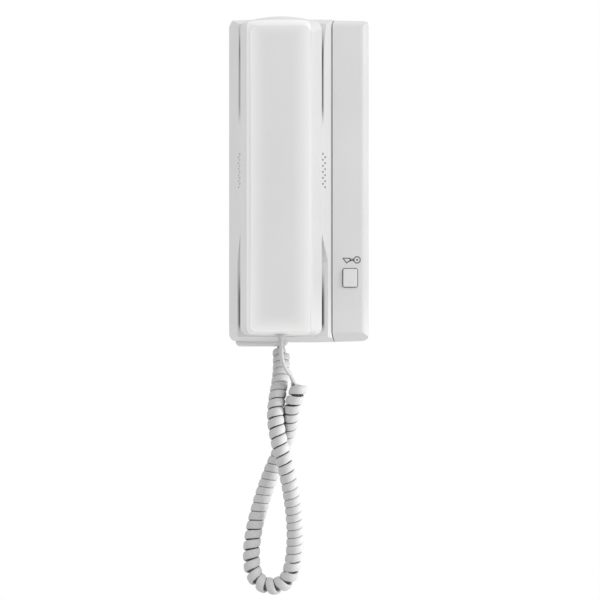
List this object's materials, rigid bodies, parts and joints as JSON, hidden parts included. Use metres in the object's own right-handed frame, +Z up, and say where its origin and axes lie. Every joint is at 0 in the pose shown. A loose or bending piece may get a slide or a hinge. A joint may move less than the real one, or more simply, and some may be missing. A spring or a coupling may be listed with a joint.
{
  "type": "audio intercom handset",
  "caption": "Wall intercom with a handset hung in a leaning cradle, a lower side panel with a door release button, and a curly cord in a hanging loop.",
  "frame": {"origin": "middle of the wall plate's rear face, where the wall is", "axes": "+Z up, +X to the right as the user faces it, +Y into the wall"},
  "size_m": [0.096, 0.058, 0.3929],
  "materials": {
    "white_abs": "satin",
    "cord_white": "satin",
    "screw_steel": "satin",
    "weight_steel": "matte",
    "board_green": "satin",
    "terminal_green": "matte",
    "black_plastic": "matte",
    "dark_rubber": "matte"
  },
  "bodies": {
    "base": {"wall_plate": "white_abs", "cradle_cover": "white_abs", "side_panel": "white_abs", "circuit_board": "board_green", "board_screws": "screw_steel", "board_components": "black_plastic", "terminal_block": "terminal_green", "terminal_screws": "screw_steel", "hook_switch": "black_plastic", "door_switch": "black_plastic", "sounder": "black_plastic", "sounder_ring": "dark_rubber", "cover_screws": "screw_steel", "base_cord_boot": "cord_white", "cord_coil": "cord_white", "cord_tail": "cord_white"},
    "handset": {"handset_front_shell": "white_abs", "handset_rear_shell": "white_abs", "receiver_capsule": "black_plastic", "receiver_gasket": "dark_rubber", "microphone_capsule": "black_plastic", "microphone_boot": "dark_rubber", "handset_weight": "weight_steel", "handset_screws": "screw_steel", "handset_cord_boot": "cord_white"},
    "hook_plunger": {"hook_plunger": "white_abs"},
    "door_button": {"door_button": "white_abs", "door_switch_plunger": "black_plastic"}
  },
  "joints": [
    {"name": "handset_lift", "type": "slide", "parent": "base", "child": "handset", "axis": [0, -1, 0], "range_m": [0, 0.06]},
    {"name": "hook_plunger_slide", "type": "slide", "parent": "base", "child": "hook_plunger", "axis": [0, -1, 0], "range_m": [0, 0.003]},
    {"name": "door_button_press", "type": "slide", "parent": "base", "child": "door_button", "axis": [0, 1, 0], "range_m": [0, 0.0012], "stiffness_N_per_m": 800, "springref_m": -0.001}
  ],
  "couplings": [
    {"joint": "hook_plunger_slide", "follows": "handset_lift", "ratio": 0.05}
  ]
}
